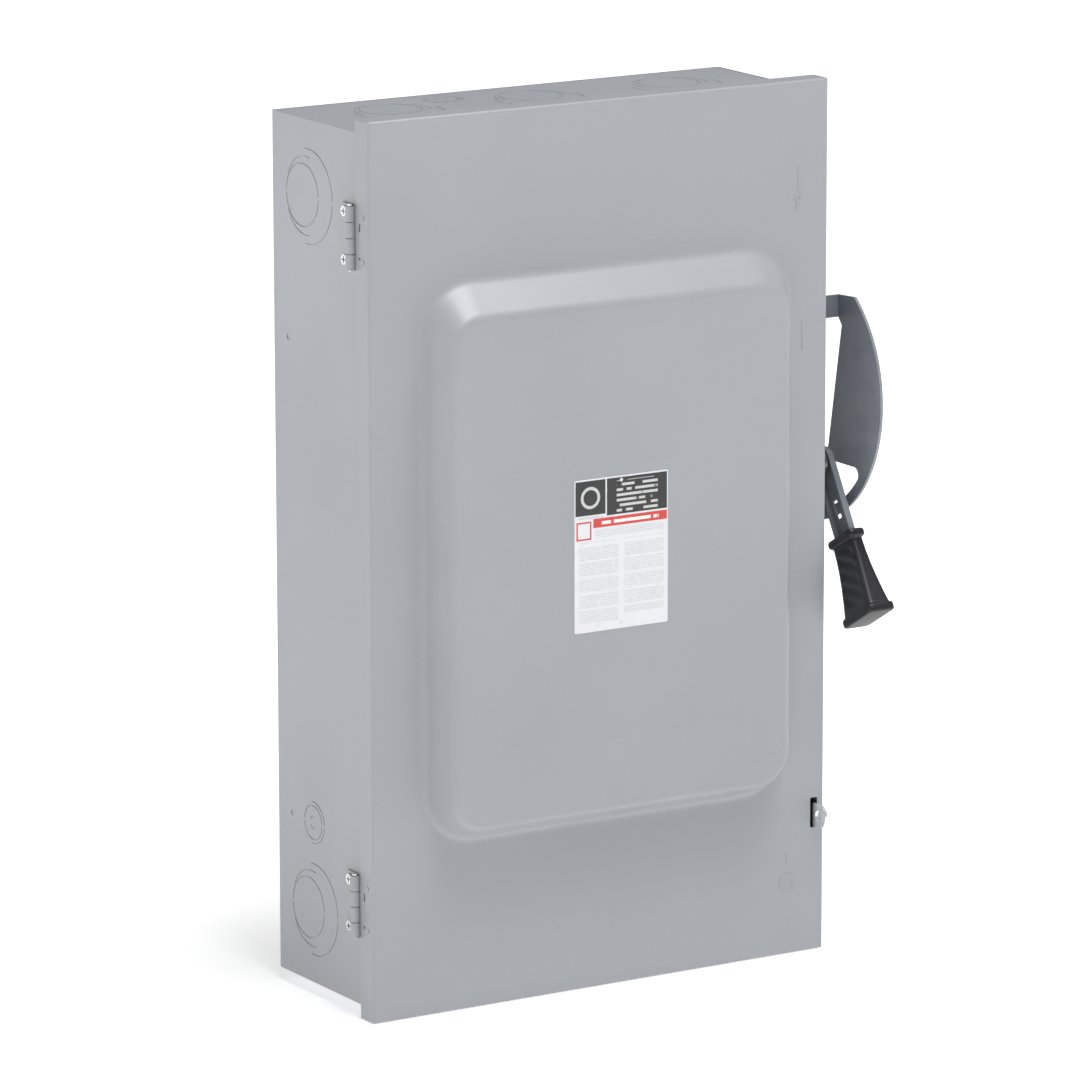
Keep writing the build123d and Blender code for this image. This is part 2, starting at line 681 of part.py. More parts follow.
with BuildPart() as load_clips:
    for pole in poles:
        block((pole - 11, pole + 11), (-bar_front, -base_front), (fuse_bottom - 55, fuse_bottom + 32))
        jaw_leaves(pole, fuse_half_plate, (-88, -bar_front), (fuse_bottom + 6, fuse_bottom + 30))
write(load_clips, "load_clips")

with BuildPart() as fuse_tubes:
    for pole in poles:
        disc(level(fuse_bottom + 47), (pole, fuse_axis), fuse_radius - 0.6, fuse_length - 94)
write(fuse_tubes, "fuse_tubes")

with BuildPart() as fuse_ends:
    for pole in poles:
        for end, towards in ((fuse_top, -1), (fuse_bottom, 1)):
            cap_z = end + towards * 35
            plate_x = (pole - fuse_half_plate, pole + fuse_half_plate)
            block(plate_x, (fuse_axis - 14.3, fuse_axis + 14.3), sorted((end, cap_z)))
            disc(level(cap_z), (pole, fuse_axis), fuse_radius, towards * 12)
write(fuse_ends, "fuse_ends")

lug_half, lug_depth, wire_hole, screw_hole = 14.0, 26.0, 8.5, 6.0
line_lug_z, load_lug_z = bar_z + 150, fuse_bottom - 31


def terminal_lugs(height):
    """Aluminium lugs on a pole's bar, each with a vertical wire hole and a clamping screw's hole."""
    with BuildPart() as lugs:
        for pole in poles:
            lug_x, lug_y = (pole - lug_half, pole + lug_half), (-bar_front - lug_depth, -bar_front)
            block(lug_x, lug_y, (height - 15, height + 15))
            disc(level(height - 16), (pole, -bar_front - 12), wire_hole, 32, Mode.SUBTRACT)
            hole_plane = front(bar_front + 12)
            disc(hole_plane, (pole, height), screw_hole + 0.1, 20, Mode.SUBTRACT)
    return lugs


write(terminal_lugs(line_lug_z), "line_lugs")
write(terminal_lugs(load_lug_z), "load_lugs")

with BuildPart() as lug_screws:
    for pole in poles:
        for height in (line_lug_z, load_lug_z):
            disc(front(bar_front + 21), (pole, height), screw_hole, 9)
            with BuildSketch(front(bar_front + 30)):
                with Locations((pole, height)):
                    RegularPolygon(3.6, 6)
            extrude(amount=-5, mode=Mode.SUBTRACT)
write(lug_screws, "lug_screws")

with BuildPart() as arc_chute_cheeks:
    for pole in poles:
        for x in (pole - 14, pole + 12):
            block((x, x + 2), (-128, -base_front - 1), (bar_z + 60, bar_z + 85))
write(arc_chute_cheeks, "arc_chute_cheeks")

with BuildPart() as arc_plates:
    for pole in poles:
        for distance in (92.0, 99.0, 106.0, 113.0, 120.0):
            for x in ((pole - 12, pole - 4.5), (pole + 4.5, pole + 12)):
                block(x, (-distance - 1.2, -distance), (bar_z + 61, bar_z + 83))
write(arc_plates, "arc_plates")

with BuildPart() as line_shield:
    shield_front = 132.0
    with BuildSketch(front(shield_front)):
        with Locations((-35, bar_z + 128)):
            RectangleRounded(216, 134, 4)
    extrude(amount=2.5)
    for x in (-132.0, 62.0):
        disc(front(base_front), (x, line_base_z[1] - 8), 3.4, shield_front - base_front)
write(line_shield, "line_shield")

# ---------------------------------------------------------------- neutral and ground
with BuildPart() as neutral_base:
    block((-200, -174), (-24, -sheet), (-190, -40))
write(neutral_base, "neutral_base")

neutral_screw_heights = [-176.0 + 14.0 * n for n in range(9)]
with BuildPart() as neutral_bar:
    block((-195, -180), (-38, -24), (-186, -44))
    for height in neutral_screw_heights:
        disc(side(-196), (-29.5, height), 2.6, 20, Mode.SUBTRACT)
        disc(front(30), (-187.5, height), 2.6, 10, Mode.SUBTRACT)
write(neutral_bar, "neutral_bar")

with BuildPart() as neutral_screws:
    for height in neutral_screw_heights:
        disc(front(33.5), (-187.5, height), 2.5, 4.5)
        disc(front(38), (-187.5, height), 4.2, 2.6)
write(neutral_screws, "neutral_screws")

ground_screw_xs = [96.0 + 12.0 * n for n in range(6)]
ground_z = -308.0
with BuildPart() as ground_bar:
    block((88, 168), (-14, -sheet), (ground_z - 6, ground_z + 6))
    for x in ground_screw_xs:
        disc(level(ground_z - 7), (x, -6.5), 2.4, 14, Mode.SUBTRACT)
        disc(front(7), (x, ground_z), 2.4, 10, Mode.SUBTRACT)
write(ground_bar, "ground_bar")

with BuildPart() as ground_screws:
    for x in ground_screw_xs:
        disc(front(9.5), (x, ground_z), 2.3, 4.5)
        disc(front(14), (x, ground_z), 4.0, 2.4)
write(ground_screws, "ground_screws")
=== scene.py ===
# %% [markdown]
# # A side-handled safety switch in a sheet-steel box
#
# The box, its hinges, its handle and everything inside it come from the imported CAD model, in metres:
# +X to the right, +Y into the wall, +Z up, and the origin on the wall behind the middle of the box.
# This lesson gives that model its looks. The pieces whose surfaces are too soft or too round for plain
# CAD facets are worked out again with numpy, and each finish is made from shader nodes.

# %% Load the fixed frame
import json
from math import cos, pi, radians, sin
import bpy
import numpy as np
from mathutils import Matrix, Vector


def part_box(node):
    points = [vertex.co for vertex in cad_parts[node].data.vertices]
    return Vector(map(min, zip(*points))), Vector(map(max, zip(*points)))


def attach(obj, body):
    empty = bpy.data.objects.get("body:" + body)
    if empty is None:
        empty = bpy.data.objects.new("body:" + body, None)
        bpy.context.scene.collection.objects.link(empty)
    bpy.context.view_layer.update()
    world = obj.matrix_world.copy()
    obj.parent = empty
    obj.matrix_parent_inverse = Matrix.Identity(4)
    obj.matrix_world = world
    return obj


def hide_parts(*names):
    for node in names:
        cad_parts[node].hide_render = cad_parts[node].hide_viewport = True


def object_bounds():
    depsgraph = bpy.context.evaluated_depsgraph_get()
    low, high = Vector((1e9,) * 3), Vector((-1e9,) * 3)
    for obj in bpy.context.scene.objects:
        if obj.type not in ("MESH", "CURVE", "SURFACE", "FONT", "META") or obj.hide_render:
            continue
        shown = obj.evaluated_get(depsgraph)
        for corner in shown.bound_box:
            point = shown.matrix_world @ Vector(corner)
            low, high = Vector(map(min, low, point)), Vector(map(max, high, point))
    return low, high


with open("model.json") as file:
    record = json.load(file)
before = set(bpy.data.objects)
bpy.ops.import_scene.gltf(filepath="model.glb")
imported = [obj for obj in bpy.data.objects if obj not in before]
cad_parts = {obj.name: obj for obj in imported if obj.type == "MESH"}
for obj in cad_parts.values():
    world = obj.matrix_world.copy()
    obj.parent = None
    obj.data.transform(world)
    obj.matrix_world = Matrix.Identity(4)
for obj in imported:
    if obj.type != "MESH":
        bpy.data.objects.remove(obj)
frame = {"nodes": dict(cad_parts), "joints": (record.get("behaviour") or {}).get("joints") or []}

cad_box = [list(corner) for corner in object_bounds()]
joints = {joint["name"]: joint for joint in frame["joints"]}
MM = 0.001
print("nodes:", len(frame["nodes"]), "box:", np.round(cad_box, 4).tolist())

# %% [markdown]
# ## Camera, lights and floor
#
# A product view: a long lens from the front left, a little above. Most of the light comes from two wide
# softboxes overhead and one level with the box on its left, so the hinge side is bright, the front a
# little darker, the flat top darkest, and the panel's upper slope shines where it mirrors the overhead
# softbox. The floor is a big white sheet that also fills the background.

# %% Camera at the viewing angle
view_turn, view_rise, view_roll = radians(31.5), radians(12.46), radians(-0.1)
view_distance, aim = 5.741, Vector((0.0250, -0.0205, -0.0207))
forward = Vector((sin(view_turn) * cos(view_rise), cos(view_turn) * cos(view_rise), -sin(view_rise)))

camera = bpy.data.objects.new("camera", bpy.data.cameras.new("camera"))
bpy.context.scene.collection.objects.link(camera)
camera.data.sensor_width, camera.data.lens = 36.0, 238.7
camera.data.clip_start, camera.data.clip_end = 0.1, 60.0
camera.location = aim - forward * view_distance
camera.rotation_mode = "QUATERNION"
turned = forward.to_track_quat("-Z", "Y") @ Matrix.Rotation(view_roll, 3, "Z").to_quaternion()
camera.rotation_quaternion = turned
bpy.context.scene.camera = camera
print("camera at", [round(value, 3) for value in camera.location])

# %% Soft lights
def area_light(name, power, width, height, place, target=(0.0, -0.08, 0.0)):
    """A rectangular softbox at a place, facing a target."""
    lamp = bpy.data.lights.new(name, "AREA")
    lamp.shape, lamp.size, lamp.size_y, lamp.energy = "RECTANGLE", width, height, power
    holder = bpy.data.objects.new(name, lamp)
    holder.location = place
    holder.rotation_mode = "QUATERNION"
    holder.rotation_quaternion = (Vector(target) - Vector(place)).to_track_quat("-Z", "Y")
    bpy.context.scene.collection.objects.link(holder)
    return holder


area_light("left_softbox", 22.1, 1.8, 2.2, (-3.2, -0.2, 0.4))
area_light("rear_left_softbox", 8.2, 2.0, 2.0, (-2.0, 2.2, 0.3))
area_light("high_front_softbox", 17.6, 2.4, 1.2, (0.2, -2.0, 2.8))
area_light("overhead_softbox", 92.0, 2.0, 1.0, (0.3, -0.9, 3.0))
area_light("right_strip", 3.0, 0.6, 1.8, (2.6, -1.2, 0.4))

world = bpy.data.worlds.new("studio")
bpy.context.scene.world = world
world.use_nodes = True
world.node_tree.nodes["Background"].inputs["Color"].default_value = (1.0, 1.0, 1.0, 1.0)
world.node_tree.nodes["Background"].inputs["Strength"].default_value = 0.14
bpy.context.scene.view_settings.view_transform = "Standard"

# %% [markdown]
# ## Writing shaders as expressions
#
# A finish is a small network of nodes. To keep it readable, `Value` wraps a socket so that ordinary
# arithmetic adds Math nodes, and `Finish.add` makes any other node from its type, its settings and
# what goes into its sockets. Every pattern reads Object coordinates, which are metres on the real part.

# %% Sockets that do arithmetic
class Value:
    """A number that varies over a surface. Arithmetic on it adds Math nodes."""

    def __init__(self, tree, socket):
        self.tree, self.socket = tree, socket

    def math(self, operation, *terms):
        node = self.tree.nodes.new("ShaderNodeMath")
        node.operation = operation
        for socket, term in zip(node.inputs, terms):
            if isinstance(term, Value):
                self.tree.links.new(term.socket, socket)
            else:
                socket.default_value = term
        return Value(self.tree, node.outputs[0])

    def __add__(self, other):
        return self.math("ADD", self, other)

    def __sub__(self, other):
        return self.math("SUBTRACT", self, other)

    def __rsub__(self, other):
        return self.math("SUBTRACT", other, self)

    def __mul__(self, other):
        return self.math("MULTIPLY", self, other)

    def __abs__(self):
        return self.math("ABSOLUTE", self)

    __radd__, __rmul__ = __add__, __mul__

    def at_least(self, other):
        return self.math("MAXIMUM", self, other)

    def at_most(self, other):
        return self.math("MINIMUM", self, other)

    def root(self):
        return self.math("SQRT", self)

    def above(self, edge, softness):
        """0 below the edge and 1 above it, with a ramp as wide as the softness."""
        ramp = (self - edge) * (1.0 / softness) + 0.5
        return ramp.at_least(0.0).at_most(1.0)

    def repeated(self, period):
        """The distance past the last whole multiple of a period."""
        return self.math("FLOORED_MODULO", self, period)


# %% A finish and its nodes
def srgb(red, green, blue):
    """A screen colour of 0-255 numbers as linear light."""
    share = np.array([red, green, blue]) / 255.0
    linear = np.where(share <= 0.04045, share / 12.92, ((share + 0.055) / 1.055) ** 2.4)
    return (*linear.tolist(), 1.0)


class Finish:
    """One material, built round a Principled shader."""

    def __init__(self, name, **constants):
        self.material = bpy.data.materials.new(name)
        self.material.use_nodes = True
        self.tree = self.material.node_tree
        self.shader = self.tree.nodes["Principled BSDF"]
        for socket, constant in constants.items():
            self.shader.inputs[socket.replace("_", " ")].default_value = constant
        self.place = self.add("ShaderNodeTexCoord").outputs["Object"]
        split = self.add("ShaderNodeSeparateXYZ", inputs={"Vector": self.place})
        self.x, self.y, self.z = (Value(self.tree, socket) for socket in split.outputs)

    def add(self, kind, settings=None, inputs=None):
        """A node of any kind: settings first, then a number, colour, Value or socket for its inputs."""
        node = self.tree.nodes.new(kind)
        for key, setting in (settings or {}).items():
            setattr(node, key, setting)
        for key, term in (inputs or {}).items():
            self.feed(node.inputs[key], term)
        return node

    def feed(self, socket, term):
        if isinstance(term, Value):
            term = term.socket
        if isinstance(term, bpy.types.NodeSocket):
            self.tree.links.new(term, socket)
        else:
            socket.default_value = term

    def noise(self, scale, detail=2.0, roughness=0.5, stretch=None, vector=None):
        """Noise between about 0.3 and 0.7, with this many lumps to the metre, drawn out along an axis."""
        vector = vector or self.place
        if stretch:
            settings = {"operation": "MULTIPLY"}
            node = self.add("ShaderNodeVectorMath", settings, {0: self.place, 1: stretch})
            vector = node.outputs[0]
        inputs = {"Vector": vector, "Scale": scale, "Detail": detail, "Roughness": roughness}
        return Value(self.tree, self.add("ShaderNodeTexNoise", inputs=inputs).outputs["Fac"])

    def cells(self, scale, feature="F1", output="Distance"):
        """Distance inside the cells of a Voronoi pattern, or another of its outputs."""
        node = self.add("ShaderNodeTexVoronoi", {"feature": feature}, {"Vector": self.place, "Scale": scale})
        return Value(self.tree, node.outputs[output])

    def mix(self, share, low, high):
        """A colour between two colours."""
        node = self.add("ShaderNodeMix", {"data_type": "RGBA"})
        self.feed(node.inputs["Factor"], share)
        self.feed(node.inputs[6], low)
        self.feed(node.inputs[7], high)
        return node.outputs[2]

    def relief(self, height, depth, strength=1.0):
        """Bump from a height of 0 to 1 that stands for this many metres."""
        bump = self.add("ShaderNodeBump", inputs={"Height": height, "Distance": depth, "Strength": strength})
        self.feed(self.shader.inputs["Normal"], bump.outputs["Normal"])

    def colour(self, term):
        self.feed(self.shader.inputs["Base Color"], term)

    def roughness(self, term):
        self.feed(self.shader.inputs["Roughness"], term)


def dress(finish, *names):
    """Give CAD nodes or pieces a finish, in every material slot."""
    for name in names:
        mesh = bpy.data.objects[name].data
        mesh.materials.clear()
        mesh.materials.append(finish.material)
    print(finish.material.name, "->", ", ".join(names))


# %% [markdown]
# ## The floor
#
# The floor is plain and almost white. A glow in its own material rises with the distance from the
# object, so the object stands on a soft contact shadow and the far floor is a clean white page.

# %% Floor
floor_finish = Finish("floor", Roughness=0.9, Emission_Strength=1.0)
floor_finish.colour(srgb(244, 244, 244))
near_glow, glow_middle, glow_ramp = 0.55, 1.1, 1.6
from_centre = (floor_finish.x * floor_finish.x + floor_finish.y * floor_finish.y).root()
glow = from_centre.above(glow_middle, glow_ramp) * (1.0 - near_glow) + near_glow
grey_glow = {"Red": glow, "Green": glow, "Blue": glow}
glow_colour = floor_finish.add("ShaderNodeCombineColor", inputs=grey_glow)
floor_finish.feed(floor_finish.shader.inputs["Emission Color"], glow_colour.outputs[0])
floor_mesh = bpy.data.meshes.new("floor")
reach, floor_z = 20.0, cad_box[0][2] - 0.0005
corners = [(side_x * reach, side_y * reach, floor_z) for side_x, side_y in ((-1, -1), (1, -1), (1, 1), (-1, 1))]
floor_mesh.from_pydata(corners, [], [(0, 1, 2, 3)])
floor_mesh.materials.append(floor_finish.material)
floor = bpy.data.objects.new("floor", floor_mesh)
bpy.context.scene.collection.objects.link(floor)
print("floor at", round(floor_z, 4))

# %% [markdown]
# ## Grey enamel on sheet steel
#
# The box and cover are steel sheet with a satin, sprayed and baked grey enamel. Close up it has a fine
# orange peel, and its tone drifts a little across a big panel. Handling leaves faint rubs that show
# only in the gloss.

# %% Enamel finish
def enamel(name, tone, drift=3, roughness=0.40, peel=0.00005):
    """Sprayed enamel of one tone, given as a screen colour."""
    finish = Finish(name, Coat_Weight=0.12, Coat_Roughness=0.22, IOR=1.5)
    cloud = finish.noise(5.0, 3.0)
    speck = finish.noise(650.0, 2.0)
    light, dark = [srgb(*(channel + step for channel in tone)) for step in (drift, -drift)]
    share = cloud * 0.75 + speck * 0.25
    finish.colour(finish.mix(share.above(0.5, 0.35), dark, light))
    rubs = finish.noise(9.0, 5.0, 0.62, stretch=(1.0, 1.0, 0.35))
    finish.roughness(rubs.above(0.56, 0.16) * 0.07 + speck * 0.05 + (roughness - 0.03))
    finish.relief(finish.noise(420.0, 2.5), peel)
    return finish


box_enamel = enamel("grey_enamel", (155, 158, 163))
guard_enamel = enamel("slate_enamel", (112, 120, 127), drift=4, roughness=0.42)
smudge = guard_enamel.noise(22.0, 4.0, 0.55).above(0.52, 0.30)
# Painted light and shade: the guard is coloured darker towards the rear, where the box shades it, and lighter
# towards its front edge, where light reaches past the cover.
painted_light_toward_front = 1.0 - guard_enamel.y.above(-0.128, 0.085)
guard_painted_shading = guard_enamel.mix(painted_light_toward_front, srgb(98, 103, 111), srgb(142, 147, 154))
guard_enamel.colour(guard_enamel.mix(smudge * 0.45, guard_painted_shading, srgb(94, 99, 107)))

# %% [markdown]
# ## Metals
#
# Screws, hinge pins and brackets are zinc plated: bright, a little milky, with fine wheel marks. The
# padlock eye is hot-dip galvanised: bright where shackles polish it, and painted dark behind the cover
# as painted shade in the slot. Blades, jaws and fuse caps are copper that has gone brown in places,
# and the lugs are tin-plated aluminium.

# %% Plated and bare metals
def metal(name, light, dark, roughness, grain=900.0, stretch=(1.0, 1.0, 0.1), depth=0.00003):
    """Metal with two tones in clouds and a brushed grain."""
    finish = Finish(name, Metallic=1.0)
    cloud, brush = finish.noise(45.0, 4.0, 0.6), finish.noise(grain, 3.0, 0.5, stretch)
    finish.colour(finish.mix(cloud.above(0.5, 0.4), srgb(*dark), srgb(*light)))
    finish.roughness(brush * 0.22 + cloud * 0.1 + (roughness - 0.16))
    finish.relief(brush, depth, 0.6)
    return finish


zinc = metal("zinc_plate", (214, 216, 214), (186, 189, 190), 0.26)
steel = metal("bare_steel", (176, 176, 174), (138, 138, 138), 0.34)
copper = metal("copper", (214, 140, 104), (150, 92, 66), 0.30)
tinned = metal("tinned_aluminium", (206, 208, 210), (178, 180, 184), 0.36)

galvanised = Finish("galvanised_zinc", Metallic=0.7)
crystal = galvanised.cells(420.0, output="Distance")
facets = galvanised.noise(90.0, 2.0)
zinc_tone = galvanised.mix(facets.above(0.5, 0.3), srgb(230, 232, 233), srgb(247, 247, 247))
# Painted shade: the part of the eye behind the cover's front, inside the slot, is coloured almost black.
painted_shade_behind_cover = galvanised.y.above(-0.1545, 0.002)
galvanised.colour(galvanised.mix(painted_shade_behind_cover, zinc_tone, srgb(62, 62, 64)))
galvanised.roughness(crystal * 0.12 + facets * 0.12 + 0.22)
galvanised.relief(facets, 0.00003, 0.4)

# %% [markdown]
# ## Mouldings, fibre and film
#
# The grip is a black moulding with a fine spark-eroded texture that shines only on its worn faces. The
# switch bases are brown thermoset, the arc chutes pressed fibre with layers at their edges, the fuses
# paper tubes with a printed band, and the line shield a clear grey sheet.

# %% Moulded and pressed finishes
def moulding(name, light, dark, roughness, texture=700.0, depth=0.00006):
    """Moulded or pressed material with a fine texture and slow changes of gloss."""
    finish = Finish(name, IOR=1.47)
    grain, cloud = finish.noise(texture, 2.0, 0.6), finish.noise(14.0, 4.0)
    finish.colour(finish.mix((grain * 0.5 + cloud * 0.5).above(0.5, 0.4), srgb(*dark), srgb(*light)))
    finish.roughness(cloud.above(0.5, 0.4) * 0.14 + grain * 0.10 + (roughness - 0.12))
    finish.relief(grain, depth, 0.7)
    return finish


grip_black = moulding("black_grip", (39, 39, 41), (26, 26, 28), 0.40, depth=0.00010)
bakelite = moulding("brown_thermoset", (74, 44, 34), (58, 33, 25), 0.42, texture=300.0)
shield_grey = moulding("clear_grey_sheet", (206, 210, 208), (196, 200, 199), 0.22, texture=60.0)
shield_grey.shader.inputs["Alpha"].default_value = 0.55

fibre = moulding("pressed_fibre", (150, 108, 74), (126, 88, 58), 0.62, texture=240.0)
layers = fibre.y.repeated(0.0006).above(0.0003, 0.0003)
fibre.relief(layers * 0.4 + fibre.noise(500.0) * 0.6, 0.00008)

fuse_low, fuse_high = (corner.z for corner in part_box("fuse_tubes"))
fuse_paper = moulding("fuse_paper", (54, 96, 76), (44, 82, 66), 0.5, texture=350.0)
fuse_middle = 0.5 * (fuse_low + fuse_high)
from_middle = abs(fuse_paper.z - fuse_middle)
band = from_middle.above(0.010, 0.0004) - from_middle.above(0.014, 0.0004)
fuse_paper.colour(fuse_paper.mix(band, srgb(50, 92, 74), srgb(206, 200, 176)))

# %% Dress the CAD nodes
enamelled = ["enclosure_wrap", "top_end_wall", "bottom_end_wall", "cover", "hinge_box_leaves"]
dress(box_enamel, *enamelled, "hinge_cover_leaves", "cover_hinge_rivets")
dress(guard_enamel, "handle_guard", "guard_rivets", "operating_lever")
plated = ["hinge_pins", "hinge_screws", "bushing_nut", "wave_washer", "crossbar_bracket", "mechanism_frame"]
plated += ["spring_anchor", "mounting_pan", "pan_screws", "lug_screws", "neutral_screws", "ground_screws"]
dress(zinc, *plated, "interlock_hook")
dress(galvanised, "padlock_tab")
turned_steel = ["shaft_bushing", "toggle_spring", "handle_shaft", "handle_crank", "crank_pin", "drive_link"]
dress(steel, *turned_steel, "interlock_cam", "crossbar_stubs", "crossbar_arm", "arc_plates")
dress(copper, "line_jaws", "load_jaws", "load_clips", "fuse_ends", "switch_blades")
dress(tinned, "line_lugs", "load_lugs", "neutral_bar", "ground_bar")
dress(bakelite, "line_base", "load_base", "neutral_base", "crossbar")
dress(fibre, "arc_chute_cheeks")
dress(fuse_paper, "fuse_tubes")
dress(shield_grey, "line_shield")
dress(grip_black, "handle_grip")

# %% [markdown]
# ## The printed label
#
# A cool white film on the raised panel, with a dark emblem and heading, a red band and small print.
# Here the print is only blocks and grey bars, drawn by the shader from the label's own place, so it
# says nothing and belongs to nobody.

# %% Label finish
label_low, label_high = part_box("front_label")
label = Finish("printed_film", Coat_Weight=0.25, Coat_Roughness=0.12, IOR=1.48)
across = (label.x - label_low.x) * (1.0 / (label_high.x - label_low.x))
down = (label_high.z - label.z) * (1.0 / (label_high.z - label_low.z))
across_soft, down_soft = 0.004, 0.003


def patch(left, right, top, bottom):
    """1 inside a rectangle of the label, in shares of its width and height."""
    sides = across.above(left, across_soft) - across.above(right, across_soft)
    return sides * (down.above(top, down_soft) - down.above(bottom, down_soft))


def bars(region, period, filled, words, gap=0.44):
    """Lines of print in a region: bars cut into uneven words, with this many noise lumps across."""
    line = down.repeated(period).above(period * (1.0 - filled), 0.003)
    number = down * (1.0 / period)
    number = number.math("FLOOR", number)
    vector = label.add("ShaderNodeCombineXYZ", inputs={"X": across, "Y": number * 7.3}).outputs[0]
    return region * line * label.noise(words, 0.0, vector=vector).above(gap, 0.05)


emblem = patch(0.01, 0.33, 0.010, 0.235)
heading = patch(0.345, 0.99, 0.010, 0.25)
caption = bars(patch(0.03, 0.31, 0.243, 0.262), 0.0095, 0.5, 12.0) * 0.5
warning_band = patch(0.20, 0.99, 0.262, 0.322)
box_edge = patch(0.02, 0.18, 0.275, 0.395) - patch(0.036, 0.164, 0.286, 0.384)
heading_text = bars(patch(0.45, 0.89, 0.03, 0.235), 0.0335, 0.50, 12.0, gap=0.38)
band_text = bars(patch(0.29, 0.90, 0.274, 0.310), 0.038, 0.55, 16.0, gap=0.38)
paragraphs = down.repeated(0.105).above(0.018, 0.002)
columns = patch(0.05, 0.47, 0.41, 0.94) + patch(0.53, 0.96, 0.41, 0.90)
fine_print = columns * paragraphs + patch(0.22, 0.96, 0.335, 0.385)
fine_text = bars(fine_print, 0.0125, 0.42, 30.0, gap=0.34) * 0.33
label_aspect = 0.70  # width over height


def reach_from(middle_across, middle_down):
    """Distance from a point of the label, in shares of its height."""
    aside, below = (across - middle_across) * label_aspect, down - middle_down
    return (aside * aside + below * below).root()


# Painted shade: two grey discs near the top and bottom of the label stand for the shading of low bumps over rivet
# heads under the film; each mask is 1 outside its disc.
clear_of_painted_bump_shade = [reach_from(0.5, place).above(0.012, 0.002) for place in (0.028, 0.962)]
ring_reach = reach_from(0.17, 0.122)
emblem_ring = ring_reach.above(0.052, 0.003) - ring_reach.above(0.072, 0.003)

film = label.mix(fine_text + caption, srgb(219, 221, 224), srgb(110, 111, 116))
film = label.mix((emblem + heading).at_most(1.0), film, srgb(18, 18, 19))
film = label.mix(emblem_ring, film, srgb(196, 197, 196))
film = label.mix(heading_text, film, srgb(196, 197, 196))
film = label.mix((warning_band + box_edge).at_most(1.0), film, srgb(202, 54, 50))
film = label.mix(band_text, film, srgb(240, 236, 232))
film = label.mix(clear_of_painted_bump_shade[0] * clear_of_painted_bump_shade[1], srgb(205, 208, 213), film)
label.colour(film)
label.roughness(label.noise(60.0, 3.0) * 0.12 + 0.22)
label.relief(label.noise(900.0, 2.0), 0.00002, 0.4)
dress(label, "front_label")

# %% [markdown]
# ## Surfaces from rings
#
# Three pieces are too soft for plain facets: the pressed cover, the moulded grip and the raised signs.
# Each is a stack of closed outlines, joined ring to ring by quads, so a bend is only a few more rings.
# Two rings close together at the end of a bend keep the flat beyond it flat when it is shaded smooth.

# %% Rings and the mesh that joins them
def rounded_loop(centre, width, height, corner, steps=10):
    """Closed outline of a rounded rectangle, as rows of two coordinates, anticlockwise.

    Each point is the centre of its corner's circle plus the corner radius in the direction of its
    angle, and the angle runs through a quarter turn at each of the four corners.
    """
    angle = np.linspace(0, pi / 2, steps + 1) + np.arange(4)[:, None] * pi / 2
    first = centre[0] + np.array([1, -1, -1, 1])[:, None] * (width / 2 - corner) + corner * np.cos(angle)
    second = centre[1] + np.array([1, 1, -1, -1])[:, None] * (height / 2 - corner) + corner * np.sin(angle)
    return np.stack([first.ravel(), second.ravel()], axis=1)


def ring_piece(name, rings, closed=()):
    """Mesh object from an array of rings in millimetres, indexed by ring, point and axis.

    Quads join every ring to the next, and each ring named in closed gets one flat face.
    """
    count, points = rings.shape[:2]
    ring, point = np.meshgrid(np.arange(count - 1), np.arange(points), indexing="ij")
    here, after = ring * points + point, ring * points + (point + 1) % points
    quads = np.stack([here, after, after + points, here + points], axis=-1).reshape(-1, 4)
    loops = [(np.arange(points) + (which % count) * points, 1 if which else -1) for which in closed]
    caps = [loop[::step].tolist() for loop, step in loops]
    mesh = bpy.data.meshes.new(name)
    mesh.from_pydata(rings.reshape(-1, 3) * MM, [], quads.tolist() + caps)
    mesh.shade_smooth()
    piece = bpy.data.objects.new(name, mesh)
    bpy.context.scene.collection.objects.link(piece)
    print(name, "has", len(mesh.polygons), "faces")
    return piece


def bake_modifiers(piece):
    """Put what the modifiers make into the piece's own mesh."""
    evaluated = piece.evaluated_get(bpy.context.evaluated_depsgraph_get())
    mesh = bpy.data.meshes.new_from_object(evaluated)
    piece.modifiers.clear()
    piece.data = mesh
    mesh.shade_smooth()
    mesh.set_sharp_from_angle(angle=radians(38))


# %% [markdown]
# ## The pressed cover
#
# The cover is one steel sheet: a turned-back flange all round, a tight fold, a flat margin, and a raised
# panel with generous bends that stiffens it. The panel's top slope is longer than the others, so its
# foot and its crown are two different rounded outlines. Each bend is a quadratic curve between its two
# tangent points, with the sharp corner of the profile as its middle control point.

# %% Cover shell
cover_low, cover_high = (np.array(corner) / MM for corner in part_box("cover"))
sheet, fold, panel_rise = 1.5, 2.1, 25.5
face_y = cover_low[1] + panel_rise
outline_centre = (0.5 * (cover_low[0] + cover_high[0]), 0.5 * (cover_low[2] + cover_high[2]))
outline_size = (cover_high - cover_low)[[0, 2]]


def outline_ring(inset, y):
    """The cover's outline, drawn in by an inset, at one depth."""
    loop = rounded_loop(outline_centre, *(outline_size - 2 * inset), max(1.2 - inset, 0.3))
    return np.insert(loop, 1, y, axis=1)


def panel_ring(centre, width, height, corner, grow, y):
    """An outline of the raised panel, grown outwards, at one depth."""
    return np.insert(rounded_loop(centre, width + 2 * grow, height + 2 * grow, corner + grow), 1, y, axis=1)


def bend_rings(start, middle, end, steps=9):
    """Quadratic curve: the start, middle and end rings weighted by (1-t)^2, 2t(1-t) and t^2."""
    share = np.linspace(0, 1, steps)[:, None, None]
    return (1 - share) ** 2 * start + 2 * share * (1 - share) * middle + share ** 2 * end


